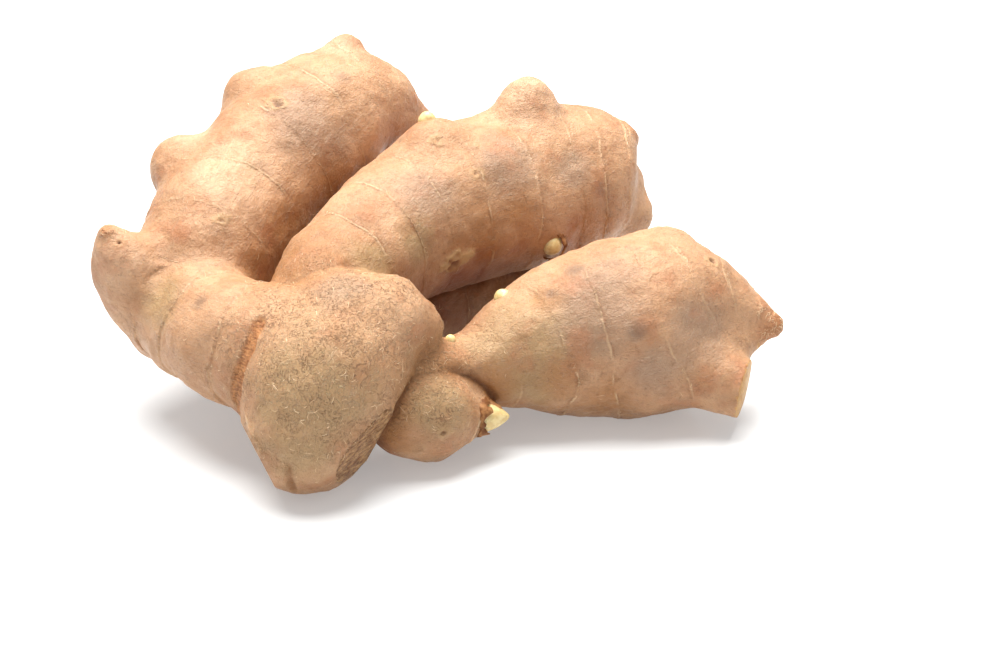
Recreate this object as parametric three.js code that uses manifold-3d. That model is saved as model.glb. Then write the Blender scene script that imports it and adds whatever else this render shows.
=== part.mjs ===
// A fresh ginger rhizome: one grown piece, a blunt knuckle with stout fingers, side knobs and buds.
// Millimetres, +Z up. The rhizome lies on the plane z = 0, with the origin under the middle of it.
import * as THREE from "three";
import { mergeVertices } from "three/addons/utils/BufferGeometryUtils.js";
import Module from "manifold-3d";

const wasm = await Module();
wasm.setup();

const FINGER_SIDES = 18; // corners round a finger
const KNOB_SIDES = 12; // corners round a knob
const RING_GAP = 10; // distance between the ring scars round a finger
const RING_ROWS = 3; // sections from one ring to the next
const RING_DIP = 0.03; // a ring lies this share of the radius below the swell between rings
const CAP_RINGS = 4; // sections that round off each end
const BUD_SIDES = 10; // corners round a small round bud
const BLOCK = 400; // side of a cutting block, longer than the whole rhizome

// Each growth is a list of stations [x, y, z, radius] along its middle, from root to tip.
const FINGERS = {
  knuckle: [
    [-22, -22, 30.5, 14],
    [-21.5, -31, 28, 17],
    [-25, -40, 23, 17.5],
    [-27.5, -44.7, 15.5, 15.6],
  ],
  mother: [
    [-24, -36, 22, 14],
    [-26, -14, 18, 16],
    [-20, 10, 16, 16.5],
    [-4, 28, 16, 16.5],
    [14, 36, 16.5, 15.5],
  ],
  left_joint: [
    [-32.5, -33, 26.5, 15],
    [-46.5, -23, 26, 14],
    [-57, -10, 26, 13],
    [-65.5, -2, 27, 10],
  ],
  back_finger: [
    [-60.5, -4, 25, 13.5],
    [-57.5, 0, 28, 15.5],
    [-52, 9, 35.5, 17],
    [-41.5, 29, 45.5, 18],
    [-26, 44, 53.5, 16.5],
    [-17.5, 49.2, 54, 12.5],
    [-11, 52, 50, 9.5],
    [-6.5, 52.5, 48, 6],
  ],
  middle_finger: [
    [-25.5, -20, 34, 12.5],
    [-22.5, -12, 35.5, 14],
    [-13.5, 4, 37.5, 16],
    [0.5, 19, 40, 18.5],
    [21.5, 35, 39, 19],
    [36, 41, 38.5, 17.5],
    [42, 43, 37.5, 14.5],
    [45, 44, 36.5, 5],
  ],
  right_finger: [
    [-5, -28, 21, 8],
    [0.5, -26, 19.5, 7.5],
    [9, -21, 17.5, 9],
    [19, -14, 18, 14.3],
    [34, -6.5, 19, 19.5],
    [46.5, -4, 20.5, 21.5],
    [54.5, -2.5, 23.5, 18.5],
    [61, -2.5, 24.5, 14],
    [67.5, -3, 23.5, 9],
    [73, -4, 22, 6],
    [77, -5, 21, 3.4],
  ],
};

const KNOBS = {
  knuckle_shoulder: [
    [-18, -32, 31, 14],
    [-10, -30, 33, 11],
    [-5, -28, 31.5, 7],
  ],
  horn: [
    [-67, -5, 29.5, 11],
    [-71, -6.5, 35.5, 9],
    [-73.8, -7.5, 41, 6.3],
    [-75, -7.5, 44, 3.3],
  ],
  small_lobe: [
    [-8, -36, 13, 9],
    [-1, -33, 12, 11],
    [5, -32, 11.5, 8.5],
    [10, -31, 10.5, 5],
    [14, -31, 10.5, 2],
  ],
  stub: [
    [54, -12, 14, 12],
    [62, -15.5, 12, 9.3],
    [69, -18.7, 10.7, 6.8],
  ],
  right_tip_base: [
    [58, -5, 19, 12],
    [66, -7, 18, 8],
    [71, -8, 18, 4],
  ],
  right_shoulder: [
    [46, 0, 27.5, 12],
    [49, 3, 32, 9.5],
    [53.5, 4, 33, 8.5],
  ],
  back_knob_low: [
    [-51, 18, 43, 12],
    [-60, 25, 47.5, 9],
  ],
  back_knob_high: [
    [-37, 36, 52, 13],
    [-44.5, 41.5, 58, 9],
  ],
  back_crown: [
    [-24, 49.5, 57, 11],
    [-25.5, 51.5, 62.5, 8.5],
    [-24, 53, 66.5, 5],
  ],
  middle_bulge: [
    [2, 20, 48, 12],
    [-0.5, 20, 53.5, 9.5],
  ],
  middle_horn: [
    [20.5, 34, 50, 12.5],
    [20.5, 35.5, 56, 10.5],
    [21, 36, 59.5, 7.5],
  ],
  middle_knob_top: [
    [38.5, 40, 47, 9.5],
    [45.5, 44, 49, 3],
  ],
  middle_knob_end: [
    [38.5, 40, 35, 11],
    [45.3, 39, 31, 6.3],
  ],
};

// Small round buds [x, y, z, radius], half sunk in the skin.
const BUDS = [
  [-3, 24.5, 60.5, 2.6],
  [26.4, 16, 32.6, 2.6],
  [15.5, -12, 29.5, 2],
  [3, -24.5, 26, 1.6],
];

// Where a neighbour was snapped or cut off: a point of the flat scar, and the way it faces.
const SCARS = {
  knuckle: { at: [-19.2, -54, 10], facing: [0.75, -0.52, -0.4] },
  stub: { at: [70, -19.2, 10.5], facing: [1, -0.3, -0.15] },
  mother: { at: [20, 38, 14], facing: [1, 0.3, 0.1] },
};

// A solid from a geometry, and back again.
function solidOf(geometry) {
  const bare = geometry.clone();
  bare.deleteAttribute("normal");
  bare.deleteAttribute("uv");
  const merged = mergeVertices(bare, 1e-3);
  return new wasm.Manifold(
    new wasm.Mesh({
      numProp: 3,
      vertProperties: merged.attributes.position.array,
      triVerts: new Uint32Array(merged.index.array),
    }),
  );
}

function geometryOf(solid) {
  const { vertProperties, triVerts } = solid.getMesh();
  const geometry = new THREE.BufferGeometry();
  geometry.setAttribute("position", new THREE.BufferAttribute(vertProperties, 3));
  geometry.setIndex(new THREE.BufferAttribute(triVerts, 1));
  geometry.computeVertexNormals();
  return geometry;
}

// A lathe-turned body, bent so that its axis follows a smooth spine through the stations.
function growth(stations, sides) {
  const points = stations.map(([x, y, z]) => new THREE.Vector3(x, y, z));
  const radii = stations.map(([, , , radius]) => new THREE.Vector3(radius, 0, 0));
  const spine = new THREE.CatmullRomCurve3(points, false, "catmullrom");
  const girth = new THREE.CatmullRomCurve3(radii, false, "catmullrom");
  const steps = Math.ceil(spine.getLength() / RING_GAP) * RING_ROWS;
  const frames = spine.computeFrenetFrames(steps, false);

  const rows = []; // one round section each: its centre, radius and frame
  const addRow = (i, past, share) => {
    const t = spine.getUtoTmapping(i / steps);
    const radius = girth.getPoint(t).x * (i % RING_ROWS === 0 ? 1 - RING_DIP : 1);
    const centre = spine.getPoint(t).addScaledVector(frames.tangents[i], past * radius);
    rows.push({ centre, radius: radius * share, across: frames.normals[i], up: frames.binormals[i] });
  };
  for (let k = 0; k < CAP_RINGS; k++) {
    const a = ((k / CAP_RINGS) * Math.PI) / 2;
    addRow(0, -Math.cos(a), Math.sin(a));
  }
  for (let i = 0; i <= steps; i++) addRow(i, 0, 1);
  for (let k = CAP_RINGS - 1; k >= 0; k--) {
    const a = ((k / CAP_RINGS) * Math.PI) / 2;
    addRow(steps, Math.cos(a), Math.sin(a));
  }

  const profile = rows.map(({ radius }, height) => new THREE.Vector2(radius, height));
  const body = new THREE.LatheGeometry(profile, sides);
  const position = body.attributes.position;
  for (let v = 0; v < position.count; v++) {
    const { centre, across, up } = rows[Math.round(position.getY(v))];
    const bent = centre
      .clone()
      .addScaledVector(across, position.getZ(v))
      .addScaledVector(up, position.getX(v));
    position.setXYZ(v, bent.x, bent.y, bent.z);
  }
  return solidOf(body);
}

// A block whose one face lies on the plane through a point, with the block on the side it faces.
function blockBeyond(at, facing, side) {
  const block = new THREE.BoxGeometry(side, side, side).translate(0, 0, side / 2);
  const turn = new THREE.Quaternion().setFromUnitVectors(
    new THREE.Vector3(0, 0, 1),
    new THREE.Vector3(...facing).normalize(),
  );
  block.applyQuaternion(turn).translate(...at);
  return solidOf(block);
}

function grow([name, stations], sides) {
  const solid = growth(stations, sides);
  const scar = SCARS[name];
  return scar ? solid.subtract(blockBeyond(scar.at, scar.facing, BLOCK)) : solid;
}

function bud([x, y, z, radius]) {
  return solidOf(new THREE.SphereGeometry(radius, BUD_SIDES, BUD_SIDES / 2).translate(x, y, z));
}

const growths = [
  ...Object.entries(FINGERS).map((entry) => grow(entry, FINGER_SIDES)),
  ...Object.entries(KNOBS).map((entry) => grow(entry, KNOB_SIDES)),
  ...BUDS.map(bud),
];
const grown = growths.reduce((whole, next) => whole.add(next));
const settled = grown.subtract(blockBeyond([0, 0, 0], [0, 0, -1], BLOCK));

const skin = new THREE.MeshStandardMaterial({ color: 0xd2a77c, roughness: 0.6, metalness: 0 });
const rhizome = new THREE.Mesh(geometryOf(settled), skin);
rhizome.name = "ginger_rhizome";

const ginger = new THREE.Group();
ginger.add(rhizome);
export default ginger;
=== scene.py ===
"""A fresh ginger rhizome on a pale table.

The growths are lofted ring by ring, grown together by a voxel remesh, and then sculpted:
lumps, ring scars, root scars and creases. Buds, dry collars and shreds of skin are added last.
Distances in the tables are millimetres.
"""

import math

import bpy
import numpy as np
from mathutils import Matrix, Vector


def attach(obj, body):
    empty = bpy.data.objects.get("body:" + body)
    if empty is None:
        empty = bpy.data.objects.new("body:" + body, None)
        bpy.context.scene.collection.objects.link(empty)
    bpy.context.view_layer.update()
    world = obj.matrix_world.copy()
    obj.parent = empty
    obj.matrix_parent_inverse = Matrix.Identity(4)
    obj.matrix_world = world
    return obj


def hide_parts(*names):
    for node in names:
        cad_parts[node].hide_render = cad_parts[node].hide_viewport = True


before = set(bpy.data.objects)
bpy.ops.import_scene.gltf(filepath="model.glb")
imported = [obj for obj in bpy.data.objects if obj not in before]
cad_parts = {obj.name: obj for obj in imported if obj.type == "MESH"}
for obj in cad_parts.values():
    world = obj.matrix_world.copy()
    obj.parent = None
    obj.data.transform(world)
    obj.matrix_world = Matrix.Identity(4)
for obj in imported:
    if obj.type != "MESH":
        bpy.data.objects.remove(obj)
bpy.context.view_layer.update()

MM = 0.001

# ---------------------------------------------------------------- shape tables, millimetres

# Each growth is a list of stations [x, y, z, radius] along its middle, from root to tip.
FINGERS = {
    "knuckle": [
        [-22, -22, 30.5, 14],
        [-21.5, -31, 28, 17],
        [-25, -40, 23, 17.5],
        [-27.5, -44.7, 15.5, 15.6],
    ],
    "mother": [
        [-24, -36, 22, 14],
        [-26, -14, 18, 16],
        [-20, 10, 16, 16.5],
        [-4, 28, 16, 16.5],
        [14, 36, 16.5, 15.5],
    ],
    "left_joint": [
        [-32.5, -33, 26.5, 15],
        [-46.5, -23, 26, 14],
        [-57, -10, 26, 13],
        [-65.5, -2, 27, 10],
    ],
    "back_finger": [
        [-60.5, -4, 25, 13.5],
        [-57.5, 0, 28, 15.5],
        [-52, 9, 35.5, 17],
        [-41.5, 29, 45.5, 18],
        [-26, 44, 53.5, 16.5],
        [-17.5, 49.2, 54, 12.5],
        [-11, 52, 50, 9.5],
        [-6.5, 52.5, 48, 6],
    ],
    "middle_finger": [
        [-25.5, -20, 34, 12.5],
        [-22.5, -12, 35.5, 14],
        [-13.5, 4, 37.5, 16],
        [0.5, 19, 40, 18.5],
        [21.5, 35, 38.6, 19.6],
        [36, 41, 38.5, 17.5],
        [42, 43, 37.5, 14.5],
        [45, 44, 36.5, 5],
    ],
    "right_finger": [
        [-5, -28, 21, 8],
        [0.5, -26, 19.5, 7.5],
        [9, -21, 17.5, 9],
        [19, -14, 18, 14.3],
        [34, -6.5, 19, 19.5],
        [46.5, -4, 20.5, 21.5],
        [54.5, -2.5, 23.5, 18.5],
        [61, -2.5, 24.5, 14],
        [67.5, -3, 23.5, 9],
        [73, -4, 22, 6],
        [77, -5, 21, 3.4],
    ],
    "small_lobe": [
        [-8, -36, 13, 9],
        [-1, -33, 12, 11],
        [5, -32, 11.5, 8.5],
        [10, -31, 10.5, 5],
        [14, -31, 10.5, 2],
    ],
}

KNOBS = {
    "knuckle_shoulder": [[-18, -32, 31, 14], [-10, -30, 33, 11], [-5, -28, 31.5, 7]],
    "horn": [
        [-67, -5, 29.5, 11],
        [-71, -6.5, 35.5, 9],
        [-73.8, -7.5, 41, 6.3],
        [-75, -7.5, 44, 3.3],
    ],
    "stub": [[54, -12, 14.5, 11.5], [62, -15.5, 13.3, 8.4], [69, -18.7, 11.3, 6.6]],
    "right_tip_base": [[58, -5, 19, 12], [66, -7, 18, 8], [71, -8, 18, 4]],
    "right_shoulder": [[46, 0, 27.5, 12], [49, 3, 32, 9.5], [53.5, 4, 33, 8.5]],
    "back_knob_low": [[-51, 18, 43, 12], [-60, 25, 47.5, 9]],
    "back_knob_high": [[-37, 36, 52, 13], [-44.5, 41.5, 58, 9]],
    "back_crown": [[-24, 49.5, 57, 11], [-25.5, 51.5, 62.5, 8.5], [-24, 53, 66.5, 5]],
    "middle_bulge": [[2, 20, 48, 12], [-0.5, 20, 53.5, 9.5]],
    "middle_horn": [[20.5, 34, 50, 12.5], [20.5, 35.5, 56, 10.5], [21, 36, 59.5, 7.5]],
    "middle_knob_top": [[38.5, 40, 47, 9.5], [45.5, 44, 49, 3]],
    "middle_knob_end": [[38.5, 40, 35, 11], [45.3, 39, 31, 6.3]],
}

# Small ends that stay crisp, [x, y, z, radius] each way.
TIPS = {
    "right_tip": [[66, -3, 24, 9], [73, -4, 22, 6.2], [77, -5, 21, 3.6]],
    "crown_tip": [[-25.5, 51.5, 61.5, 8.5], [-24.8, 53, 65, 6.6], [-23.5, 53.5, 67.3, 4.3]],
    "middle_horn_tip": [[20.5, 35, 55, 10.5], [21, 36, 58.5, 9], [21, 36, 60.8, 6.5]],
    "lobe_tip": [[5, -32, 11.5, 8], [10, -31, 10.5, 5], [13, -31, 10.5, 3]],
    "stub_end": [[61, -15, 13.6, 8.2], [71, -19.7, 10.8, 6.8]],
}

# The growths that flow smoothly into each other. Where two limbs meet there is a crease,
# except at the merged patches.
LIMBS = [
    [
        "knuckle",
        "knuckle_shoulder",
        "left_joint",
        "back_finger",
        "horn",
        "back_knob_low",
        "back_knob_high",
        "back_crown",
    ],
    ["mother"],
    ["middle_finger", "middle_bulge", "middle_horn", "middle_knob_top", "middle_knob_end"],
    ["right_finger", "stub", "right_tip_base", "right_shoulder"],
    ["small_lobe"],
]

# Flat faces where a neighbour was snapped or cut off: the finger, a point of the face, the way
# it faces, how far it reaches, and how it looks.
FLAT_FACES = [
    ("knuckle", [-19.2, -54, 10], [0.75, -0.52, -0.4], 25, "torn"),
    ("knuckle", [-39.3, -48.7, 10.2], [-0.88, -0.28, -0.38], 25, "skin"),
    ("right_finger", [70, -19.2, 10.5], [1, -0.3, -0.15], 13, "fresh"),
    ("mother", [20, 38, 14], [1, 0.3, 0.1], 25, "torn"),
]

# Distance of each ring scar from the finger's root, along its middle.
RINGS = {
    "mother": [14, 26, 38, 50, 62, 74, 84],
    "left_joint": [12, 26, 40],
    "back_finger": [3, 16.5, 28.5, 45.5, 60.5, 73, 82],
    "middle_finger": [12, 25.5, 37, 49, 63.5, 80, 89, 96],
    "right_finger": [20, 33.5, 47, 61, 73, 81, 87],
    "small_lobe": [17],
}

# Root scars: a raised rim round a dark pit, [x, y, z, radius].
ROOT_SCARS = [
    [-38.7, 26.3, 64, 1.6],
    [-49.5, -3.5, 46.3, 1.3],
    [-72.4, -10.7, 44, 0.8],
    [-0.5, 13, 60, 1.1],
    [8, 16, 57, 0.8],
    [8.2, 8.7, 53, 1.2],
    [4.2, -0.8, 35, 2.5],
    [62.8, -5, 37, 1.1],
    [60.5, -22, 14.6, 1.0],
    [-15, -29, 43.6, 1.2],
    [-11.6, -32, 43.4, 0.9],
    [2, -43.2, 12.2, 1.1],
    [-30, 55, 38, 1.6],
    [30, 58, 42, 1.5],
    [55, 15, 22, 1.3],
    [-68, 8, 22, 1.2],
]

# Lines in the skin: [x, y, z] points that each one runs through.
SHEATH_EDGES = [
    [[-69, -13.5, 23], [-67.5, -15, 32], [-63, -12, 36.5], [-54, -14.5, 39], [-43.5, -26.5, 40]],
    [[-55, -33, 27], [-51.5, -32.5, 35], [-44, -33, 38.5]],
    [[-42, -49, 22], [-38, -56, 16], [-37.5, -56, 11], [-34.5, -57.5, 8.5], [-31, -57, 6]],
]
BROWN_GROOVE = [
    [-37.8, -40.5, 36.5],
    [-39.5, -43, 33],
    [-42, -44, 27],
    [-43.2, -44, 20.5],
    [-42.5, -46.5, 13],
]
END_CRACK = [[-31.5, -60, 13], [-31.5, -58.6, 9], [-31, -55.6, 4.5]]

# Soft round patches [x, y, z, radius] where the skin differs, in colour or in being hairy or dry,
# and where shade and light are painted on it.
SKIN_PATCHES = {
    "olive": [
        [-26.5, -58, 28, 13],
        [-29, -61, 17, 9],
        [20, -24, 27, 13],
        [21, -26, 16, 6],
        [1, -42, 17, 7],
        [-15, -20.5, 43, 6],
        [-5, -7.5, 44.5, 6],
        [-47, 8.5, 54.5, 5],
        [-62.5, -19.5, 34, 6],
        [-20, 60, 45, 12],
        [60, 12, 25, 8],
    ],
    "lilac": [
        [-33, 21.5, 60.5, 8],
        [-25, 23.5, 55, 6],
        [-4, 0.5, 51.5, 7],
        [15.5, 14, 53, 8],
        [37, -19.5, 33, 11],
        [57.5, -18, 26, 8],
        [49, -24.5, 19, 6],
        [31, 22, 49, 5],
        [-21, -35.5, 43.5, 6],
        [10, 50, 45, 12],
    ],
    # Golden skin, and painted shade on the low, inner and hidden sides.
    "gold_and_painted_shade": [
        [-16.5, 30, 53.5, 6],
        [-26, 20, 47, 6],
        [-35, 6.5, 42.5, 6],
        [-42, -6, 35, 6],
        [9.5, 3, 37.5, 9],
        [19, 10, 42.5, 6],
        [35.5, 22.5, 35.5, 6],
        [12, -29, 17, 6],
        [24.5, -17, 32.5, 4],
        [28, -25, 17.5, 5],
        [39, -23, 10.5, 6],
        [-11, -45.5, 11.5, 5],
    ],
    # Painted shade in the gaps inside the clump and low under the knuckle.
    "painted_gap_shade": [
        [8, 4, 22, 13],
        [0, -12, 26, 9],
        [-14, -38, 8, 6],
    ],
    # Pale skin, and painted light: most patches are on the tops of the growths, and one is on a
    # shaded side of the back finger.
    "pale": [
        [21, 34, 68, 11],
        [-24, 50, 72, 7],
        [-50, 8, 53, 9],
        [-58, 28, 54, 7],
        [-73, -13, 40, 7],
        [6, -30, 17, 5],
        [-16.5, 30, 53.5, 8],
    ],
    "fibrous": [
        [-22, -45, 32, 22],
        [-15, -35, 42, 12],
        [4, -24, 28, 8],
        [-1, -38, 20, 8],
        [-8, 5, 44, 8],
    ],
    "dry_tip": [
        [-21, 58, 70, 4],
        [78, -5, 21, 6],
        [46, 45, 50, 4],
        [-76, -9, 47, 2],
        [-5, 56, 51, 3],
    ],
    "smudge": [
        [-52, -28.5, 37, 1.7],
        [45.7, -24, 28.5, 2.2],
        [31.3, -10.6, 37, 2.6],
        [-23.7, 35, 67.4, 2.2],
        [37.6, 23.8, 43.4, 2],
        [25.8, -16, 34, 1.4],
        [-31.6, -34.4, 40.6, 0.9],
        [-52, 2.6, 51.2, 0.8],
        [53, -13.6, 37.2, 0.7],
        [50.2, -7.1, 40.6, 0.7],
        [18.3, -25.6, 24.8, 0.6],
        [65.7, -24, 11.7, 0.6],
        [-17, -49, 37.1, 0.7],
    ],
}
# Warty patches, and patches where two limbs run together with no crease.
PEBBLED_PATCHES = [[38, -23, 11, 9], [28, -24, 9, 5]]
MERGED_PATCHES = [
    [-27, -20, 41, 16],
    [-14, -20, 42, 14],
    [-41, -38, 36, 14],
    [-43, -42, 24, 12],
    [-3, -31, 26, 9],
]

SIDES = 32  # corners round each lofted ring
SECTION_GAP = 3.0  # distance between two lofted rings
PLUMP = 0.35  # added to each radius, because smoothing takes it away again
LIMB_VOXEL = 1.8  # fineness of the mesh that blends the growths of a limb
BODY_VOXEL = 1.0  # fineness of the mesh that joins the limbs
SKIN_VOXEL = 0.48  # fineness of the mesh that is sculpted
MOST_TRIANGLES = 195000
BATCH = 20000  # vertices measured at a time, to save memory
LATTICE = 24  # points each way in the lattice of random values
END_ANGLES = (10, 35, 65)  # degrees from the axis of the rings that round off an end

RING_MARGIN = 12  # the ring pattern goes on this far past the first and last ring scar ...
RING_EDGE = 5  # ... but is left out this close to its ends
FAR_FROM_RING = 5.0  # the ring wave where there is no ring scar
FINGER_SHIFT = 90  # moves each finger's streaks along, so that no two fingers look alike

# The skin's unevenness: how high, over what distance, and the seed of its random values.
LUMPS = [(0.9, 17, 1), (0.55, 7, 2), (0.2, 3, 4), (0.1, 1.3, 6)]

# How far each mark stands out of the skin.
SWELL_HEIGHT = 0.3  # the skin between two ring scars
STEP_HEIGHT = 0.22  # the end of one sheath over the start of the next
RING_HEIGHT = 0.15
SHEATH_HEIGHT = 0.35
RIM_HEIGHT = 0.35
PEBBLE_HEIGHT = 0.35
# How deep each mark lies in it.
PIT_DEPTH = 0.4
CREASE_DEPTH = 0.5
SEAM_DEPTH = 0.9
GROOVE_DEPTH = 0.6
CRACK_DEPTH = 0.9

HOLLOW_ROUNDS = 60  # smoothing rounds: the more, the wider the hollows that are found
RESTING_BAND = 0.6  # skin lower than this is pressed to the table and isn't raised
MERGED_FILL = 0.8  # the share of a hollow that is filled where two limbs run together
DEEPEST_FILL = 2.5  # a deeper hollow than this is filled no more

BUD_SIDES = 32  # corners round a bud
BUD_RINGS = 20
COLLAR_SIDES = 48  # corners round a collar
COLLAR_FLARE = 1.15  # a collar's foot is this much wider than the bud's ring
COLLAR_BANDS = 2  # bands that a collar starts from
COLLAR_STEP = 0.5  # height of each band before the collar is made ragged
COLLAR_WALL = 0.25  # thickness of a collar

FIBRES = 1700
FIBRE_SEED = 7
FIBRE_LENGTHS = (0.7, 2.0)  # shortest and longest
FIBRE_WIDTHS = (0.07, 0.13)  # thinnest and thickest
FIBRE_ARCH = 0.4  # how far a fibre usually bows out of a straight line
FIBRE_FLOOR = 3  # no fibre grows lower than this


# ---------------------------------------------------------------- lines and noise


def smooth_line(stations):
    """Stations joined by a Catmull-Rom curve: rows [x, y, z, radius], and distances along it."""
    known = np.array(stations, float)
    known = np.vstack([2 * known[0] - known[1], known, 2 * known[-1] - known[-2]])
    t = np.linspace(0, 1, 21)[:-1, None]
    parts = []
    for a, b, c, d in zip(known, known[1:], known[2:], known[3:]):
        into, out_of = (c - a) / 2, (d - b) / 2
        cubic = 2 * b - 2 * c + into + out_of
        square = 3 * c - 3 * b - 2 * into - out_of
        parts.append(cubic * t**3 + square * t**2 + into * t + b)
    line = np.vstack(parts + [known[-2]])
    gaps = np.linalg.norm(np.diff(line[:, :3], axis=0), axis=1)
    walked = np.concatenate([[0], np.cumsum(gaps)])
    count = max(3, round(walked[-1] / SECTION_GAP) + 1)
    along = np.linspace(0, walked[-1], count)
    rows = [np.interp(along, walked, line[:, i]) for i in range(4)]
    return np.stack(rows, axis=1), along


def frames_along(rows):
    """The direction of the line at each row, and a sideways direction that doesn't twist."""
    tangents = np.gradient(rows[:, :3], axis=0)
    tangents /= np.linalg.norm(tangents, axis=1)[:, None]
    across = np.cross(tangents[0], [0.3, 0.2, 0.93])  # any direction that no finger starts in
    sideways = []
    for tangent in tangents:
        across = across - tangent * np.dot(across, tangent)
        across = across / np.linalg.norm(across)
        sideways.append(across)
    return tangents, np.array(sideways)


def lumps(points, size, seed):
    """Smooth random values from -1 to 1 that vary over the given size."""
    lattice = np.random.default_rng(seed).uniform(-1, 1, (LATTICE, LATTICE, LATTICE))
    at = points / size
    cell = np.floor(at).astype(int)
    share = at - cell
    share = share * share * (3 - 2 * share)
    total = np.zeros(len(points))
    for corner in np.ndindex(2, 2, 2):
        weight = np.prod(np.where(corner, share, 1 - share), axis=1)
        total += weight * lattice[tuple(((cell + corner) % LATTICE).T)]
    return total


def fade(value, low, high):
    """0 below low, 1 above high, and smooth in between."""
    share = np.clip((value - low) / (high - low), 0, 1)
    return share * share * (3 - 2 * share)


def line_distance(points, line):
    """How far each point is from a line of straight pieces."""
    line = np.array(line, float)
    least = np.full(len(points), 1e3)
    for start, end in zip(line, line[1:]):
        run = end - start
        share = np.clip((points - start) @ run / (run @ run), 0, 1)
        away = np.linalg.norm(points - start - share[:, None] * run, axis=1)
        least = np.minimum(least, away)
    return least


def patch(points, places):
    """1 in the middle of each soft round patch [x, y, z, radius], and 0 outside them all."""
    most = np.zeros(len(points))
    ragged = 0.35 * lumps(points, 4, 11)
    for x, y, z, radius in places:
        away = np.linalg.norm(points - [x, y, z], axis=1) / radius + ragged
        most = np.maximum(most, 1 - fade(away, 0.4, 1.5))
    return most


# ---------------------------------------------------------------- modelling by operators


def deselect():
    for thing in bpy.context.selected_objects:
        thing.select_set(False)


def use(piece):
    deselect()
    piece.select_set(True)
    bpy.context.view_layer.objects.active = piece
    return piece


def apply_modifier(piece, kind, **settings):
    use(piece)
    modifier = piece.modifiers.new(kind.title(), kind)
    for name, value in settings.items():
        setattr(modifier, name, value)
    bpy.ops.object.modifier_apply(modifier=modifier.name)


def settle(piece):
    """Puts a piece's place and turn into its mesh."""
    use(piece)
    bpy.ops.object.transform_apply(location=True, rotation=True, scale=True)


def join(pieces, name):
    use(pieces[0])
    for piece in pieces:
        piece.select_set(True)
    bpy.ops.object.join()
    whole = bpy.context.object
    whole.name = whole.data.name = name
    settle(whole)
    return whole


def turn_to(direction):
    return Vector(direction).to_track_quat("Z", "Y").to_euler()


def ring_at(centre, radius, tangent):
    bpy.ops.mesh.primitive_circle_add(
        vertices=SIDES,
        radius=radius * MM,
        location=Vector(centre) * MM,
        rotation=turn_to(tangent),
    )
    return bpy.context.object


def rounding_rings(row, tangent, angles):
    """Rings that round off an end, out along the tangent."""
    rings = []
    for angle in angles:
        out, share = math.cos(math.radians(angle)), math.sin(math.radians(angle))
        centre = row[:3] + tangent * row[3] * out
        rings.append(ring_at(centre, row[3] * share, tangent))
    return rings


def loft(name, stations, plump):
    """A closed, round-ended body through rings along the stations."""
    rows, _ = smooth_line(stations)
    rows[:, 3] += plump
    tangents, _ = frames_along(rows)
    rings = rounding_rings(rows[0], -tangents[0], END_ANGLES)
    rings += [ring_at(row[:3], row[3], tangent) for row, tangent in zip(rows, tangents)]
    rings += rounding_rings(rows[-1], tangents[-1], reversed(END_ANGLES))
    body = join(rings, name)
    bpy.ops.object.mode_set(mode="EDIT")
    bpy.ops.mesh.select_all(action="SELECT")
    bpy.ops.mesh.bridge_edge_loops(type="SINGLE")
    bpy.ops.mesh.select_all(action="SELECT")
    bpy.ops.mesh.fill_holes(sides=0)
    bpy.ops.mesh.normals_make_consistent(inside=False)
    bpy.ops.object.mode_set(mode="OBJECT")
    return body


def limb(names):
    """Growths that flow into each other, as one smooth skin."""
    growths = {**FINGERS, **KNOBS}
    body = join([loft(name, growths[name], PLUMP) for name in names], names[0])
    apply_modifier(body, "REMESH", mode="VOXEL", voxel_size=LIMB_VOXEL * MM)
    apply_modifier(body, "SMOOTH", factor=0.5, iterations=10)
    return body


def grown_body():
    """All limbs and tips as one closed skin, fine enough to sculpt."""
    parts = [limb(names) for names in LIMBS]
    parts += [loft(name, stations, 0) for name, stations in TIPS.items()]
    body = join(parts, "ginger_root")
    apply_modifier(body, "REMESH", mode="VOXEL", voxel_size=BODY_VOXEL * MM)
    apply_modifier(body, "SMOOTH", factor=0.5, iterations=1)
    apply_modifier(body, "REMESH", mode="VOXEL", voxel_size=SKIN_VOXEL * MM)
    apply_modifier(body, "SMOOTH", factor=0.5, iterations=4)
    return body


# ---------------------------------------------------------------- sculpting in numbers


def coordinates(mesh):
    values = np.empty(len(mesh.vertices) * 3, np.float32)
    mesh.vertices.foreach_get("co", values)
    return values.reshape(-1, 3).astype(float) / MM


def directions(mesh):
    values = np.empty(len(mesh.vertices) * 3, np.float32)
    mesh.vertex_normals.foreach_get("vector", values)
    return values.reshape(-1, 3).astype(float)


def move_to(mesh, points):
    mesh.vertices.foreach_set("co", (points * MM).astype(np.float32).ravel())
    mesh.update()


def store(mesh, name, values):
    """Writes one number, or one vector, for each vertex."""
    kind, field = ("FLOAT", "value") if values.ndim == 1 else ("FLOAT_VECTOR", "vector")
    attribute = mesh.attributes.new(name, kind, "POINT")
    attribute.data.foreach_set(field, values.astype(np.float32).ravel())


def finger_table():
    """All sections of all fingers, stacked: what the skin's vertices are measured against."""
    table = {key: [] for key in ("centre", "radius", "tangent", "across", "along", "owner")}
    for owner, stations in enumerate(FINGERS.values()):
        rows, along = smooth_line(stations)
        tangents, across = frames_along(rows)
        table["centre"].append(rows[:, :3])
        table["radius"].append(rows[:, 3])
        table["tangent"].append(tangents)
        table["across"].append(across)
        table["along"].append(along)
        table["owner"].append(np.full(len(rows), owner))
    return {key: np.concatenate(values) for key, values in table.items()}


def nearest_sections(points, table):
    """For each point, the section whose ball comes nearest to it, and how far off that is."""
    nearest = np.empty(len(points), int)
    beyond = np.empty(len(points))
    for start in range(0, len(points), BATCH):
        part = slice(start, start + BATCH)
        away = np.linalg.norm(points[part, None] - table["centre"][None], axis=2)
        away -= table["radius"]
        nearest[part] = away.argmin(axis=1)
        beyond[part] = away.min(axis=1)
    return nearest, beyond


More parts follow.
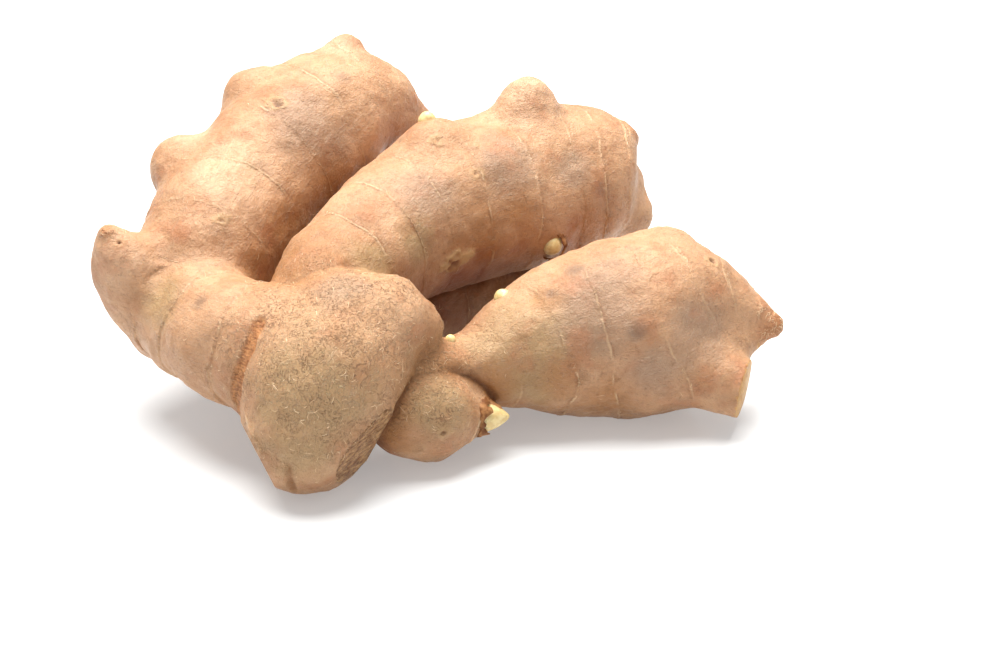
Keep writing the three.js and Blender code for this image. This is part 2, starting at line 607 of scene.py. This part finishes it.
def limb_gaps(points):
    """How far each point is from its own limb and from the next limb."""
    growths = {**FINGERS, **KNOBS}
    gaps = []
    for names in LIMBS:
        gap = np.full(len(points), 1e3)
        for x, y, z, radius in np.vstack([smooth_line(growths[name])[0] for name in names]):
            gap = np.minimum(gap, np.linalg.norm(points - [x, y, z], axis=1) - radius)
        gaps.append(gap)
    return np.sort(gaps, axis=0)[:2]


def unrolled(points, table, section):
    """Each point in its own finger's terms: two sideways distances and one along."""
    from_centre = points - table["centre"][section]
    tangent, across = table["tangent"][section], table["across"][section]
    upward = np.cross(tangent, across)
    side = (from_centre * across).sum(axis=1)
    up = (from_centre * upward).sum(axis=1)
    along = table["along"][section] + (from_centre * tangent).sum(axis=1)
    return side, up, along


def ring_waves(points, side, up, along, owner):
    """A wave that crosses zero at each ring scar, and how far each point is past its ring."""
    wave = np.full(len(along), FAR_FROM_RING)
    past = np.full(len(along), 0.5)
    around = np.arctan2(up, side)
    wander = 0.9 * lumps(points, 8, 21) + 0.35 * lumps(points, 2.5, 22)
    for name, rings in RINGS.items():
        index = list(FINGERS).index(name)
        mine = owner == index
        places = np.array(rings, float)
        places = np.concatenate([[places[0] - RING_MARGIN], places, [places[-1] + RING_MARGIN]])
        tilt = 1.5 * np.sin(around[mine] + 2 * index) + wander[mine]
        count = np.interp(along[mine] + tilt, places, np.arange(len(places)))
        gap = np.interp(along[mine], (places[1:] + places[:-1]) / 2, np.diff(places))
        on_rings = (along[mine] > places[0] + RING_EDGE) & (along[mine] < places[-1] - RING_EDGE)
        wave[mine] = np.where(on_rings, np.sin(np.pi * count) * gap / np.pi, FAR_FROM_RING)
        past[mine] = np.where(on_rings, count - np.floor(count), 0.5)
    return wave, past


def hollows(mesh, points, normals, rounds):
    """How deep each vertex lies below the skin around it, in millimetres."""
    edges = np.empty(len(mesh.edges) * 2, np.int32)
    mesh.edges.foreach_get("vertices", edges)
    first, second = edges[0::2], edges[1::2]
    neighbours = np.bincount(edges, minlength=len(points)).astype(float)
    smooth = points.copy()
    for _ in range(rounds):
        for axis in range(3):
            values = smooth[:, axis]
            total = np.bincount(first, values[second], len(points))
            total += np.bincount(second, values[first], len(points))
            smooth[:, axis] = 0.5 * values + 0.5 * total / neighbours
    return ((smooth - points) * normals).sum(axis=1)


def flatten_faces(points, owner):
    """Presses the snapped ends flat. Returns how torn and how freshly cut each vertex is."""
    marks = {kind: np.zeros(len(points)) for kind in ("torn", "fresh", "skin")}
    for name, place, facing, reach, kind in FLAT_FACES:
        facing = np.array(facing) / np.linalg.norm(facing)
        above = (points - place) @ facing
        near = np.linalg.norm(points - place, axis=1) < reach
        outside = near & (owner == list(FINGERS).index(name)) & (above > 0)
        points[outside] -= above[outside, None] * facing
        marks[kind][outside] = 1
    return marks["torn"], marks["fresh"]


def root_scars(points):
    """The dark pits and the pale rims of the root scars, ragged and a little squashed."""
    pit = np.zeros(len(points))
    rim = np.zeros(len(points))
    ragged = 0.8 * lumps(points, 1.2, 5)
    for x, y, z, radius in ROOT_SCARS:
        offset = (points - [x, y, z]) * [1, 1, 1.6]
        away = np.linalg.norm(offset, axis=1) / radius + ragged
        pit = np.maximum(pit, 1 - fade(away, 0.3, 0.95))
        rim = np.maximum(rim, 0.6 * radius * np.exp(-(((away - 1.25) / 0.5) ** 2)))
    return pit, rim


def creases(points, hollow, own_gap, next_gap):
    """How far each vertex is in a crease, and in the deep middle of one, from 0 to 1."""
    apart = next_gap - own_gap + 0.5 * lumps(points, 3, 25)
    on_limb = own_gap < 3
    wide = np.exp(-((apart / 2.2) ** 2)) * on_limb
    seam = np.exp(-((apart / 0.9) ** 2)) * on_limb
    crease = np.maximum(fade(hollow, 0.12, 0.8), wide)
    deep = np.maximum(fade(hollow, 0.5, 1.2), seam)
    merged = patch(points, MERGED_PATCHES)
    return crease * (1 - 0.75 * merged), deep * (1 - 0.9 * merged)


def skin_features(mesh, points, normals):
    """For each vertex, its place on its finger, and how much of each feature is there."""
    table = finger_table()
    section, beyond = nearest_sections(points, table)
    side, up, along = unrolled(points, table, section)
    owner = table["owner"][section]
    wave, past = ring_waves(points, side, up, along, owner)
    hollow = hollows(mesh, points, normals, HOLLOW_ROUNDS)
    own_gap, next_gap = limb_gaps(points)
    crease, deep = creases(points, hollow, own_gap, next_gap)
    on_finger = 1 - fade(beyond, 1.0, 3.5)
    sheath = np.min([line_distance(points, line) for line in SHEATH_EDGES], axis=0)
    pit, rim = root_scars(points)
    return {
        "straight": np.stack([side, up, along + FINGER_SHIFT * owner], axis=1),
        "owner": owner,
        "ring_wave": wave,
        "past_ring": past,
        "ringed": fade(lumps(points, 9, 3), -0.7, 0.3) * (1 - crease) * on_finger,
        "sheath": sheath + 0.5 * lumps(points, 2.5, 23),
        "hollow": hollow,
        "next_gap": next_gap,
        "crease": crease,
        "deep": deep,
        "groove": 1 - fade(line_distance(points, BROWN_GROOVE), 1.7, 2.6),
        "crack": 1 - fade(line_distance(points, END_CRACK), 0.2, 1.3),
        "pit": pit,
        "rim": rim,
    }


def relief(points, f):
    """How far each vertex moves out of the skin, in millimetres."""
    height = np.zeros(len(points))
    for high, wide, seed in LUMPS:
        height += high * lumps(points, wide, seed)
    swell = np.sin(np.pi * f["past_ring"]) ** 0.6 - 0.6
    step = 0.5 - f["past_ring"]
    jointed = 1 + 1.2 * (f["owner"] == list(FINGERS).index("left_joint"))
    height += f["ringed"] * jointed * (SWELL_HEIGHT * swell + STEP_HEIGHT * step)
    height += RING_HEIGHT * f["ringed"] * np.exp(-((f["ring_wave"] / 0.55) ** 2))
    height += SHEATH_HEIGHT * np.exp(-((f["sheath"] / 0.5) ** 2))
    merged = patch(points, MERGED_PATCHES)
    height += MERGED_FILL * merged * np.clip(f["hollow"], 0, DEEPEST_FILL)
    height += RIM_HEIGHT * f["rim"] - PIT_DEPTH * f["pit"]
    height += PEBBLE_HEIGHT * patch(points, PEBBLED_PATCHES) * lumps(points, 1.1, 8)
    sunk = CREASE_DEPTH * f["crease"] + SEAM_DEPTH * f["deep"]
    sunk += GROOVE_DEPTH * f["groove"]
    sunk += CRACK_DEPTH * f["crack"]
    height -= sunk
    resting = points[:, 2] < RESTING_BAND
    height[resting] = np.minimum(height[resting], 0)
    return height


def sculpt(body):
    """Moves the skin out and in, and notes for the material where its marks are, and where shade
    and light are painted.
    """
    mesh = body.data
    points = coordinates(mesh)
    normals = directions(mesh)
    f = skin_features(mesh, points, normals)
    points += normals * relief(points, f)[:, None]
    torn, fresh = flatten_faces(points, f["owner"])
    points[:, 2] = np.maximum(points[:, 2], 0)
    move_to(mesh, points)

    for name in ("straight", "ring_wave", "past_ring", "ringed", "sheath", "groove", "pit", "rim"):
        store(mesh, name, f[name])
    # The crease and deep values also darken the skin's colour: painted shade in the creases and the
    # crack.
    store(mesh, "crease", np.maximum(f["crease"], 0.7 * f["crack"]))
    store(mesh, "deep", np.maximum(f["deep"], 0.5 * f["crack"]))
    # Painted shade: skin close to the next limb is browned and darkened.
    store(mesh, "painted_shade_near_limbs", 1 - fade(f["next_gap"] + 2 * lumps(points, 5, 24), 0, 11))
    store(mesh, "torn", torn)
    store(mesh, "fresh", fresh)
    for name, places in SKIN_PATCHES.items():
        store(mesh, name, patch(points, places))


def thin_out(body):
    """Fewer triangles where the skin is smooth."""
    triangles = 2 * len(body.data.polygons)
    apply_modifier(body, "DECIMATE", ratio=min(1, MOST_TRIANGLES / triangles))
    use(body)
    bpy.ops.object.shade_smooth()


# ---------------------------------------------------------------- buds, scales and fibres


def bud(name, place, facing, radius, length, point):
    """A round or pointed bud, with its middle at the skin. point is 0 for round, 1 for sharp."""
    bpy.ops.mesh.primitive_uv_sphere_add(segments=BUD_SIDES, ring_count=BUD_RINGS, radius=MM)
    piece = bpy.context.object
    piece.name = piece.data.name = name
    points = coordinates(piece.data)
    high = np.clip(points[:, 2], 0, 1)
    points[:, :2] *= radius * (1 - point * high[:, None] ** 1.5 * 0.6)
    points[:, 2] *= np.where(points[:, 2] > 0, length, radius)
    points *= 1 + 0.03 * lumps(points, 1.5, 31)[:, None]
    move_to(piece.data, points)
    piece.rotation_euler = turn_to(facing)
    piece.location = Vector(place) * MM
    settle(piece)
    bpy.ops.object.shade_smooth()
    return piece


def collar(name, place, facing, radius, height, seed):
    """A ragged ring of dry scale round a bud."""
    bpy.ops.mesh.primitive_circle_add(vertices=COLLAR_SIDES, radius=radius * COLLAR_FLARE * MM)
    piece = bpy.context.object
    piece.name = piece.data.name = name
    bpy.ops.object.mode_set(mode="EDIT")
    bpy.ops.mesh.select_all(action="SELECT")
    for _ in range(COLLAR_BANDS):
        bpy.ops.mesh.extrude_region_move(TRANSFORM_OT_translate={"value": (0, 0, COLLAR_STEP * MM)})
    bpy.ops.object.mode_set(mode="OBJECT")
    points = coordinates(piece.data)
    level = np.round(points[:, 2] / COLLAR_STEP) / COLLAR_BANDS
    around = np.arctan2(points[:, 1], points[:, 0])
    ring = np.stack([3 * np.cos(around), 3 * np.sin(around), np.zeros(len(around))], axis=1)
    ragged = 0.65 + 0.5 * lumps(ring, 0.45, seed) + 0.35 * lumps(ring, 1.7, seed + 1)
    points[:, 2] = (level - 0.4) * height * np.clip(ragged, 0.15, 1.3)
    points[:, :2] *= (1 - 0.14 * level + 0.05 * lumps(ring, 0.8, seed + 2))[:, None]
    move_to(piece.data, points)
    apply_modifier(piece, "SOLIDIFY", thickness=COLLAR_WALL * MM, offset=0)
    piece.rotation_euler = turn_to(facing)
    piece.location = Vector(place) * MM
    settle(piece)
    bpy.ops.object.shade_smooth()
    return piece


def sliver_mesh(name, roots, normals, headings, lengths, widths, arches):
    """Many thin bowed slivers in one mesh, each lying on the skin from its root onwards."""
    steps = np.linspace(-0.5, 0.5, 5)
    sides = np.cross(normals, headings)
    vertices = []
    for share in steps:
        bow = 1 - (2 * share) ** 2
        centre = roots + headings * (share * lengths)[:, None]
        centre = centre + sides * (bow * arches * 0.6)[:, None]
        centre = centre + normals * (bow * np.abs(arches) * 0.2 - 0.02)[:, None]
        half = (widths * (0.25 + 0.75 * bow) / 2)[:, None]
        vertices += [centre - sides * half, centre + sides * half, centre + normals * half * 0.8]
    count, rows = len(roots), len(steps)
    vertices = np.stack(vertices, axis=1).reshape(-1, 3)
    one = []
    for row in range(rows - 1):
        a, b = 3 * row, 3 * row + 3
        one += [(a, a + 1, b + 1, b), (a + 1, a + 2, b + 2, b + 1), (a + 2, a, b, b + 2)]
    last = 3 * (rows - 1)
    caps = [(0, 2, 1), (last, last + 1, last + 2)]
    faces = []
    for index in range(count):
        start = index * 3 * rows
        faces += [tuple(start + v for v in face) for face in one + caps]
    mesh = bpy.data.meshes.new(name)
    mesh.from_pydata((vertices * MM).tolist(), [], faces)
    mesh.update()
    piece = bpy.data.objects.new(name, mesh)
    bpy.context.scene.collection.objects.link(piece)
    use(piece)
    bpy.ops.object.mode_set(mode="EDIT")
    bpy.ops.mesh.select_all(action="SELECT")
    bpy.ops.mesh.normals_make_consistent(inside=False)
    bpy.ops.object.mode_set(mode="OBJECT")
    return piece


def read(mesh, name):
    values = np.empty(len(mesh.vertices), np.float32)
    mesh.attributes[name].data.foreach_get("value", values)
    return values.astype(float)


def loose_fibres(body):
    """Short curled fibres of old skin, thick on the knuckle and thin elsewhere."""
    random = np.random.default_rng(FIBRE_SEED)
    mesh = body.data
    points, normals = coordinates(mesh), directions(mesh)
    chance = 0.04 + read(mesh, "fibrous") + 0.5 * read(mesh, "torn")
    chance += 3 * read(mesh, "dry_tip")
    chance += 0.5 * (np.abs(read(mesh, "ring_wave")) < 0.4) * read(mesh, "ringed")
    off_table = points[:, 2] > FIBRE_FLOOR
    chance *= off_table * (1 - read(mesh, "crease")) * (1 - read(mesh, "groove"))
    picked = random.choice(len(points), FIBRES, p=chance / chance.sum())
    normals = normals[picked]
    headings = np.cross(normals, random.normal(size=(FIBRES, 3)))
    headings /= np.linalg.norm(headings, axis=1)[:, None]
    lengths = random.uniform(*FIBRE_LENGTHS, FIBRES)
    widths = random.uniform(*FIBRE_WIDTHS, FIBRES)
    arches = random.normal(0, FIBRE_ARCH, FIBRES)
    return sliver_mesh("skin_fibres", points[picked], normals, headings, lengths, widths, arches)


# ---------------------------------------------------------------- materials


def linear(red, green, blue):
    """A colour from 0 to 255 as the eye sees it, in the renderer's own units."""
    shares = [((value / 255 + 0.055) / 1.055) ** 2.4 for value in (red, green, blue)]
    return (*shares, 1)


class Nodes:
    """Short ways to add nodes to one material."""

    def __init__(self, name):
        self.material = bpy.data.materials.new(name)
        self.material.use_nodes = True
        self.tree = self.material.node_tree
        self.shader = self.tree.nodes["Principled BSDF"]

    def put(self, socket, value):
        if isinstance(value, bpy.types.NodeSocket):
            self.tree.links.new(value, socket)
        else:
            socket.default_value = value

    def add(self, kind, inputs=(), **settings):
        node = self.tree.nodes.new(kind)
        for name, value in settings.items():
            setattr(node, name, value)
        for key, value in dict(inputs).items():
            self.put(node.inputs[key], value)
        return node

    def attribute(self, name, output="Fac"):
        return self.add("ShaderNodeAttribute", attribute_name=name).outputs[output]

    def math(self, operation, a, b=0.0):
        return self.add("ShaderNodeMath", {0: a, 1: b}, operation=operation).outputs[0]

    def times(self, *values):
        product = values[0]
        for value in values[1:]:
            product = self.math("MULTIPLY", product, value)
        return product

    def noise(self, vector, scale, detail=3.0, roughness=0.55, distortion=0.0):
        """Noise from 0 to 1. On Object coordinates the scale counts its grains in a metre."""
        inputs = {"Vector": vector, "Scale": scale, "Detail": detail}
        inputs.update({"Roughness": roughness, "Distortion": distortion})
        return self.add("ShaderNodeTexNoise", inputs).outputs["Fac"]

    def stretch(self, vector, factors):
        node = self.add("ShaderNodeMapping", {"Vector": vector, "Scale": factors})
        return node.outputs["Vector"]

    def between(self, value, low, high, to_low=0.0, to_high=1.0):
        """Maps low..high to to_low..to_high, smoothly and clamped."""
        node = self.add("ShaderNodeMapRange", interpolation_type="SMOOTHSTEP")
        for key, number in enumerate((value, low, high, to_low, to_high)):
            self.put(node.inputs[key], number)
        return node.outputs[0]

    def near(self, value, middle, width):
        """1 where the value is at the middle, and 0 further than width away: draws a line."""
        away = self.math("ABSOLUTE", self.math("SUBTRACT", value, middle))
        return self.between(away, 0.0, width, 1.0, 0.0)

    def blend(self, amount, under, over):
        """The colour under, covered by the colour over as far as the amount says."""
        node = self.add("ShaderNodeMix", data_type="RGBA")
        for key, value in (("Factor_Float", amount), ("A_Color", under), ("B_Color", over)):
            self.put(next(s for s in node.inputs if s.identifier == key), value)
        return next(s for s in node.outputs if s.identifier == "Result_Color")

    def bump(self, height, distance, normal=None):
        node = self.add("ShaderNodeBump", {"Height": height, "Distance": distance * MM})
        if normal is not None:
            self.put(node.inputs["Normal"], normal)
        return node.outputs["Normal"]

    def set(self, **values):
        for name, value in values.items():
            self.put(self.shader.inputs[name.replace("_", " ")], value)


def skin_marks(n):
    """The skin's fine patterns, each from 0 to 1."""
    place = n.add("ShaderNodeTexCoord").outputs["Object"]
    straight = n.attribute("straight", "Vector")
    fibrous = n.attribute("fibrous")
    ragged = n.math("SUBTRACT", n.times(n.noise(place, 900, 2), 0.5), 0.25)
    lengthwise = n.stretch(straight, (1.6, 1.6, 0.3))
    broken = n.between(n.noise(place, 160, 3), 0.4, 0.58)
    wave = n.math("ADD", n.attribute("ring_wave"), ragged)
    clear = n.between(n.noise(place, 45, 3), 0.38, 0.6, 0.5, 1.0)
    shown = n.times(n.attribute("ringed"), broken, clear)
    ring = n.times(n.near(wave, 0.0, 0.42), shown)
    sheath = n.between(n.attribute("sheath"), 0.1, 0.5, 1.0, 0.0)
    curls = n.near(n.noise(place, 300, 2, 0.5, 1.8), 0.5, 0.022)
    hairs = n.near(n.noise(place, 420, 3, 0.55, 2.4), 0.47, 0.026)
    often = n.between(fibrous, 0.0, 0.8, 0.14, 1.0)
    torn = n.between(n.noise(place, 170, 3), 0.42, 0.62)
    return {
        "place": place,
        "streak": n.between(n.noise(lengthwise, 1.0, 5, 0.7), 0.5, 0.72),
        "grain": n.noise(place, 1500, 3, 0.6),
        "pores": n.between(n.noise(place, 1000, 2), 0.6, 0.72),
        "ring": n.math("MAXIMUM", ring, n.times(sheath, broken)),
        "ring_shadow": n.times(n.near(wave, -0.5, 0.6), shown),
        "band": n.times(n.between(n.attribute("past_ring"), 0.0, 0.4, 1.0, 0.0), shown),
        "curls": n.times(curls, often, torn),
        "hairs": n.times(hairs, often, n.math("SUBTRACT", 1.0, torn)),
        "fibrous": fibrous,
        "groove": n.attribute("groove"),
        "torn": n.attribute("torn"),
        "dry_tip": n.attribute("dry_tip"),
    }


# Tints laid one over another: the mark or vertex attribute, how strongly, and the colour.
PATCH_TINTS = [
    # Painted shade near another limb.
    ("painted_shade_near_limbs", 0.65, (156, 104, 58)),
    ("olive", 0.65, (160, 134, 94)),
    ("lilac", 0.65, (156, 128, 106)),
    # Golden skin, partly painted shade.
    ("gold_and_painted_shade", 0.55, (162, 108, 58)),
    # Pale skin, partly painted light.
    ("pale", 0.4, (222, 184, 152)),
]
MARK_TINTS = [
    ("fibrous", 0.25, (180, 146, 108)),
    ("curls", 0.55, (220, 190, 150)),
    ("hairs", 0.6, (112, 72, 44)),
    ("pores", 0.35, (118, 78, 50)),
    ("ring_shadow", 0.45, (132, 86, 54)),
    ("ring", 0.62, (222, 188, 150)),
    ("rim", 0.4, (196, 166, 118)),
    # Painted shade in the inner gaps.
    ("painted_gap_shade", 0.8, (140, 80, 46)),
    ("dry_tip", 0.7, (184, 122, 78)),
    # Painted shade in the creases and their deep middles.
    ("crease", 0.6, (150, 100, 54)),
    ("deep", 0.8, (108, 62, 28)),
]


def tinted(n, m, colour, tints):
    for name, share, tint in tints:
        amount = m[name] if name in m else n.attribute(name)
        colour = n.blend(n.times(amount, share), colour, linear(*tint))
    return colour


def blotched(n, m, colour):
    """Ruddy and grey blotches, freckles, the darker skin just past each ring scar, and a painted
    sheen along the streaks of the lilac patches.
    """
    ruddy = n.times(n.between(n.noise(m["place"], 110, 4), 0.52, 0.72), 0.5)
    colour = n.blend(ruddy, colour, linear(176, 114, 78))
    grey = n.times(n.between(n.noise(m["place"], 85, 5, 0.7), 0.58, 0.72), 0.4)
    colour = n.blend(grey, colour, linear(128, 102, 82))
    colour = tinted(n, m, colour, [("smudge", 0.6, (112, 90, 74))])
    freckles = n.between(n.noise(m["place"], 560, 5, 0.75), 0.4, 0.66)
    colour = n.blend(n.times(freckles, 0.22), colour, linear(138, 94, 62))
    colour = tinted(n, m, colour, [("band", 0.35, (146, 112, 84))])
    # Painted sheen: lighter streaks along the lilac patches.
    painted_sheen = n.times(m["streak"], n.between(n.attribute("lilac"), 0.0, 1.0, 0.22, 0.5))
    return n.blend(painted_sheen, colour, linear(204, 172, 144))


def bared(n, m, colour):
    """The brown groove, the torn ends and the fresh cut, where the skin is missing."""
    hatch = n.between(n.noise(n.stretch(m["place"], (1, 1, 4)), 500, 3), 0.35, 0.65)
    groove_colour = n.blend(hatch, linear(144, 86, 46), linear(198, 136, 84))
    colour = n.blend(n.times(m["groove"], 0.85), colour, groove_colour)
    torn = n.between(n.noise(n.stretch(m["place"], (1, 1, 2)), 500, 5, 0.7), 0.36, 0.66)
    torn_colour = n.blend(torn, linear(114, 72, 40), linear(192, 148, 102))
    colour = n.blend(n.times(m["torn"], 0.9), colour, torn_colour)
    flesh = n.between(n.noise(m["place"], 900, 3), 0.4, 0.65)
    flesh_colour = n.blend(flesh, linear(210, 162, 96), linear(184, 132, 74))
    return n.blend(n.times(n.attribute("fresh"), 0.9), colour, flesh_colour)


def skin_colour(n, m):
    cloudy = n.between(n.noise(m["place"], 55, 4, 0.6), 0.36, 0.64)
    mottled = n.between(n.noise(m["place"], 170, 5, 0.65), 0.35, 0.68)
    colour = n.blend(cloudy, linear(190, 146, 110), linear(168, 123, 87))
    colour = n.blend(n.times(mottled, 0.45), colour, linear(202, 160, 124))
    colour = tinted(n, m, colour, PATCH_TINTS)
    colour = blotched(n, m, colour)
    colour = tinted(n, m, colour, MARK_TINTS)
    colour = bared(n, m, colour)
    return tinted(n, m, colour, [("pit", 0.6, (104, 70, 46))])


def skin_bump(n, m):
    wrinkled = n.noise(m["place"], 300, 6, 0.7)
    crinkled = n.near(n.noise(m["place"], 520, 3, 0.6, 1.2), 0.5, 0.12)
    normal = n.bump(wrinkled, 0.55)
    normal = n.bump(crinkled, -0.05, normal)
    normal = n.bump(m["streak"], 0.08, normal)
    normal = n.bump(m["curls"], 0.2, normal)
    normal = n.bump(n.times(m["hairs"], -1.0), 0.15, normal)
    normal = n.bump(m["ring"], 0.13, normal)
    ragged = n.times(n.noise(m["place"], 800, 4), n.math("MAXIMUM", m["torn"], m["dry_tip"]))
    normal = n.bump(ragged, 1.4, normal)
    return n.bump(m["grain"], 0.12, normal)


def skin_material():
    """Thin tan skin: peach, lilac and olive patches, pale rings, fine fibres, and painted shade in
    the creases.
    """
    n = Nodes("ginger_skin")
    m = skin_marks(n)
    sheen = n.between(n.noise(m["place"], 240, 3), 0.35, 0.7, 0.42, 0.58)
    rough = n.math("ADD", sheen, n.times(m["fibrous"], 0.12))
    n.set(Base_Color=skin_colour(n, m), Roughness=rough, Normal=skin_bump(n, m))
    n.set(Subsurface_Weight=0.12, Subsurface_Scale=0.002, Subsurface_Radius=(1.0, 0.45, 0.2))
    n.set(Specular_IOR_Level=0.3)
    return n.material


def fibre_material():
    """Pale papery shreds of skin."""
    n = Nodes("dry_fibre")
    place = n.add("ShaderNodeTexCoord").outputs["Object"]
    shade = n.between(n.noise(place, 150, 3), 0.35, 0.65)
    colour = n.blend(shade, linear(196, 154, 112), linear(232, 202, 164))
    n.set(Base_Color=colour, Roughness=0.6, Normal=n.bump(n.noise(place, 2000), 0.05))
    return n.material


def bud_material():
    """Smooth cream flesh of a young bud, blushed with tan."""
    n = Nodes("cream_bud")
    place = n.add("ShaderNodeTexCoord").outputs["Object"]
    veins = n.between(n.noise(place, 700, 3), 0.4, 0.65)
    colour = n.blend(veins, linear(226, 204, 148), linear(208, 180, 122))
    blush = n.between(n.noise(place, 300, 2), 0.55, 0.7, 0.0, 0.25)
    colour = n.blend(blush, colour, linear(192, 156, 98))
    n.set(Base_Color=colour, Normal=n.bump(n.noise(place, 900, 3), 0.12))
    n.set(Roughness=n.between(veins, 0.0, 1.0, 0.34, 0.46))
    n.set(Subsurface_Weight=0.2, Subsurface_Scale=0.002, Subsurface_Radius=(1.0, 0.7, 0.3))
    return n.material


def scale_material():
    """Dry brown scale leaf, mottled and dull."""
    n = Nodes("dry_scale")
    place = n.add("ShaderNodeTexCoord").outputs["Object"]
    shade = n.between(n.noise(place, 600, 4), 0.35, 0.7)
    colour = n.blend(shade, linear(112, 68, 36), linear(172, 122, 76))
    n.set(Base_Color=colour, Roughness=0.62, Normal=n.bump(n.noise(place, 1500, 3), 0.12))
    n.set(Specular_IOR_Level=0.2)
    return n.material


# ---------------------------------------------------------------- the pieces

# Buds: [place, facing, radius, length, point].
BUDS = {
    "lobe_bud": ([10.5, -31.5, 10.5], [1, 0.05, -0.02], 3.6, 5.8, 0.8),
    "collared_bud": ([26.4, 15.6, 32.6], [0.1, -0.95, 0.15], 2.7, 2.9, 0.1),
    "cleft_bud": ([-3, 24.5, 60.5], [0.2, -0.2, 0.9], 2.2, 2.4, 0.3),
    "edge_bud": ([15, -9.5, 29.8], [-0.6, 0.2, 0.7], 2.2, 2.3, 0.2),
    "neck_bud": ([3, -24.5, 26.3], [0, 0, 1], 1.2, 1.3, 0.1),
}
# Dry collars round some of them: [place, facing, radius, height].
COLLARS = {
    "lobe_collar": ([10, -31.5, 10.6], [1, 0.05, -0.02], 4.1, 3.2),
    "bud_collar": ([26, 15.5, 32.6], [-0.2, -0.97, -0.02], 3.5, 2.0),
}


def put_on_body(piece, material):
    piece.data.materials.clear()
    piece.data.materials.append(material)
    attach(piece, "root")


def ginger():
    body = grown_body()
    sculpt(body)
    thin_out(body)
    put_on_body(body, skin_material())
    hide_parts("ginger_rhizome")
    put_on_body(loose_fibres(body), fibre_material())
    flesh = bud_material()
    for name, (place, facing, radius, length, point) in BUDS.items():
        put_on_body(bud(name, place, facing, radius, length, point), flesh)
    dry = scale_material()
    for seed, (name, (place, facing, radius, height)) in enumerate(COLLARS.items()):
        put_on_body(collar(name, place, facing, radius, height, 40 + 5 * seed), dry)


# ---------------------------------------------------------------- table, light and camera

AIM = Vector((0.0142, -0.006, 0.0195))  # the point that the camera looks at
VIEW_DISTANCE = 0.646
VIEW_HEIGHT = math.radians(25)  # how far the camera looks down
LENS = 100
TABLE_SIDE = 6.0
TABLE_GLOW = 0.3  # keeps the table pale in the shade, as a lit backdrop does
SKY_STRENGTH = 0.5
LIGHT_PLACE = (-0.065, 0.21, 0.9)
LIGHT_SIZE = 0.95
LIGHT_POWER = 27.5
LIGHT_COLOUR = (1, 0.99, 0.97)


def table():
    bpy.ops.mesh.primitive_plane_add(size=TABLE_SIDE, location=(0, 0, 0))
    top = bpy.context.object
    top.name = "table"
    n = Nodes("white_table")
    place = n.add("ShaderNodeTexCoord").outputs["Object"]
    shade = n.between(n.noise(place, 40), 0.3, 0.7, 0.16, 0.22)
    n.set(Base_Color=linear(205, 207, 208), Roughness=shade, Specular_IOR_Level=0.3)
    n.set(Emission_Color=(1, 1, 1, 1), Emission_Strength=TABLE_GLOW)
    top.data.materials.append(n.material)


def overhead_light():
    bpy.ops.object.light_add(type="AREA", location=LIGHT_PLACE)
    light = bpy.context.object
    light.name = "overhead"
    light.data.shape = "DISK"
    light.data.size = LIGHT_SIZE
    light.data.energy = LIGHT_POWER
    light.data.color = LIGHT_COLOUR
    light.rotation_euler = (AIM - Vector(LIGHT_PLACE)).to_track_quat("-Z", "Y").to_euler()


def studio():
    scene = bpy.context.scene
    scene.view_settings.view_transform = "Standard"
    world = bpy.data.worlds.new("studio")
    scene.world = world
    world.use_nodes = True
    sky = world.node_tree.nodes["Background"]
    sky.inputs["Color"].default_value = (1, 1, 1, 1)
    sky.inputs["Strength"].default_value = SKY_STRENGTH
    overhead_light()


def camera():
    toward = Vector((0, math.cos(VIEW_HEIGHT), -math.sin(VIEW_HEIGHT)))
    bpy.ops.object.camera_add(location=AIM - VIEW_DISTANCE * toward)
    eye = bpy.context.object
    eye.rotation_euler = (math.pi / 2 - VIEW_HEIGHT, 0, 0)
    eye.data.lens = LENS
    bpy.context.scene.camera = eye


ginger()
table()
studio()
camera()
